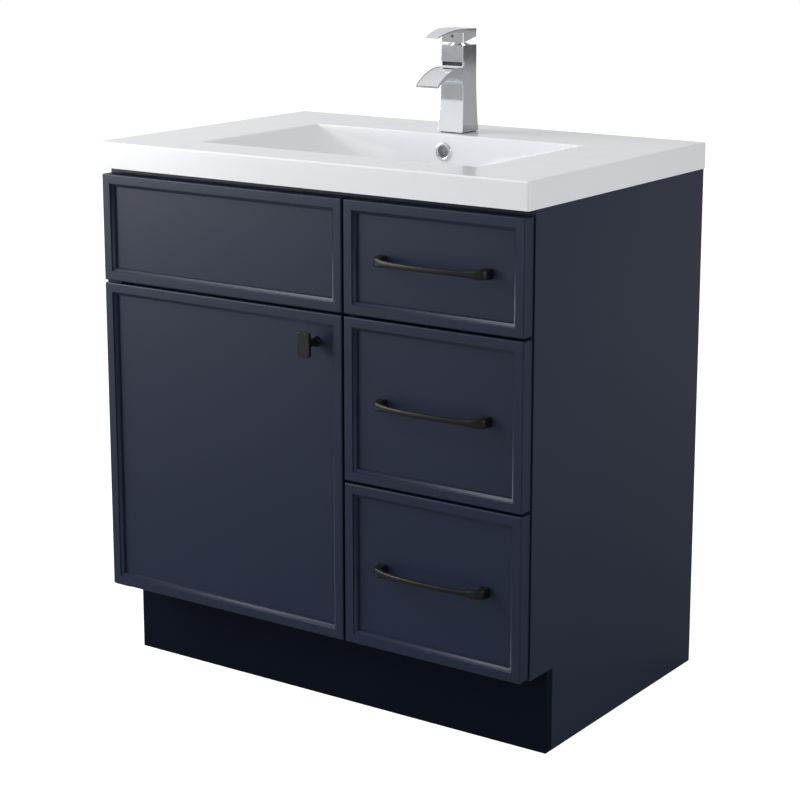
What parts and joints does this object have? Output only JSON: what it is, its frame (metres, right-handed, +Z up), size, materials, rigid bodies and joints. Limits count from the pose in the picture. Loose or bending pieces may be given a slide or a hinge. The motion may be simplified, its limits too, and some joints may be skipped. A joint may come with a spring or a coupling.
{
  "type": "bathroom vanity cabinet",
  "caption": "Floor-standing bathroom vanity cabinet with a one-piece basin top, a single-lever faucet, a hinged door and sliding drawers.",
  "frame": {"origin": "on the floor under the middle of the object's box", "axes": "+X to the right seen from the front, +Y from the front to the wall, +Z up"},
  "size_m": [0.768, 0.541, 0.997],
  "materials": {
    "navy_lacquer": "satin lacquer on board",
    "toe_kick_finish": "dark satin lacquer on board",
    "carcass_board": "clear-coated plywood",
    "back_sheet": "thin plywood",
    "drawer_wood": "clear-coated solid wood",
    "drawer_sheet": "clear-coated thin plywood",
    "zinc_steel": "zinc plated",
    "dark_bronze": "dark oil-rubbed bronze coating",
    "white_glaze": "gloss white glaze",
    "chrome": "polished",
    "valve_brass": "machined",
    "bumper_rubber": "moulded",
    "clip_plastic": "moulded",
    "cap_plastic": "dark gloss"
  },
  "bodies": {
    "root": {"side_panel_left": "navy_lacquer", "side_panel_right": "navy_lacquer", "top_front_rail": "navy_lacquer", "door_rail": "navy_lacquer", "false_front": "navy_lacquer", "toe_kick_board": "toe_kick_finish", "bottom_panel": "carcass_board", "centre_partition": "carcass_board", "wall_rail": "carcass_board", "lower_back_rail": "carcass_board", "shelf": "carcass_board", "corner_blocks": "carcass_board", "back_panel": "back_sheet", "shelf_pins": "zinc_steel", "hinge_leaves_carcass": "zinc_steel", "false_front_clips": "clip_plastic", "top_drawer_slides_carcass": "zinc_steel", "middle_drawer_slides_carcass": "zinc_steel", "bottom_drawer_slides_carcass": "zinc_steel", "vanity_top": "white_glaze", "overflow_ring": "chrome", "drain_flange": "chrome", "faucet_body": "chrome", "drain_tailpiece": "chrome", "drain_gasket": "bumper_rubber", "faucet_gasket": "bumper_rubber", "drain_nut": "clip_plastic", "faucet_cartridge": "valve_brass", "faucet_shank": "valve_brass", "faucet_nut": "valve_brass"},
    "door": {"door_panel": "navy_lacquer", "door_knob": "dark_bronze", "door_bumpers": "bumper_rubber", "hinge_leaves_door": "zinc_steel"},
    "stopper": {"drain_stopper": "chrome"},
    "faucet_swivel": {"faucet_collar": "chrome"},
    "faucet_lever": {"faucet_handle": "chrome", "handle_cap": "cap_plastic"},
    "top_drawer": {"top_drawer_front": "navy_lacquer", "top_drawer_pull": "dark_bronze", "top_drawer_sides": "drawer_wood", "top_drawer_ends": "drawer_wood", "top_drawer_bottom": "drawer_sheet", "top_drawer_slides_drawer": "zinc_steel"},
    "top_drawer_mid_slides": {"top_drawer_slides_middle": "zinc_steel"},
    "middle_drawer": {"middle_drawer_front": "navy_lacquer", "middle_drawer_pull": "dark_bronze", "middle_drawer_sides": "drawer_wood", "middle_drawer_ends": "drawer_wood", "middle_drawer_bottom": "drawer_sheet", "middle_drawer_slides_drawer": "zinc_steel"},
    "middle_drawer_mid_slides": {"middle_drawer_slides_middle": "zinc_steel"},
    "bottom_drawer": {"bottom_drawer_front": "navy_lacquer", "bottom_drawer_pull": "dark_bronze", "bottom_drawer_sides": "drawer_wood", "bottom_drawer_ends": "drawer_wood", "bottom_drawer_bottom": "drawer_sheet", "bottom_drawer_slides_drawer": "zinc_steel"},
    "bottom_drawer_mid_slides": {"bottom_drawer_slides_middle": "zinc_steel"}
  },
  "joints": [
    {"name": "door_hinge", "type": "hinge", "parent": "root", "child": "door", "pos_m": [-0.3738, -0.234, 0.3718], "axis": [0, 0, -1], "range_deg": [0, 105]},
    {"name": "top_drawer_slide", "type": "slide", "parent": "root", "child": "top_drawer", "axis": [0, -1, 0], "range_m": [0, 0.38]},
    {"name": "top_drawer_mid_slide", "type": "slide", "parent": "root", "child": "top_drawer_mid_slides", "axis": [0, -1, 0], "range_m": [0, 0.19]},
    {"name": "middle_drawer_slide", "type": "slide", "parent": "root", "child": "middle_drawer", "axis": [0, -1, 0], "range_m": [0, 0.38]},
    {"name": "middle_drawer_mid_slide", "type": "slide", "parent": "root", "child": "middle_drawer_mid_slides", "axis": [0, -1, 0], "range_m": [0, 0.19]},
    {"name": "bottom_drawer_slide", "type": "slide", "parent": "root", "child": "bottom_drawer", "axis": [0, -1, 0], "range_m": [0, 0.38]},
    {"name": "bottom_drawer_mid_slide", "type": "slide", "parent": "root", "child": "bottom_drawer_mid_slides", "axis": [0, -1, 0], "range_m": [0, 0.19]},
    {"name": "stopper_lift", "type": "slide", "parent": "root", "child": "stopper", "axis": [0, 0, 1], "range_m": [0, 0.008]},
    {"name": "handle_swivel", "type": "hinge", "parent": "root", "child": "faucet_swivel", "pos_m": [0, 0.1695, 0.9745], "axis": [0, 0, 1], "range_deg": [-45, 45]},
    {"name": "handle_lift", "type": "hinge", "parent": "faucet_swivel", "child": "faucet_lever", "pos_m": [0, 0.1695, 0.983], "axis": [-1, 0, 0], "range_deg": [0, 25]}
  ],
  "couplings": [
    {"joint": "top_drawer_mid_slide", "follows": "top_drawer_slide", "ratio": 0.5},
    {"joint": "middle_drawer_mid_slide", "follows": "middle_drawer_slide", "ratio": 0.5},
    {"joint": "bottom_drawer_mid_slide", "follows": "bottom_drawer_slide", "ratio": 0.5}
  ]
}
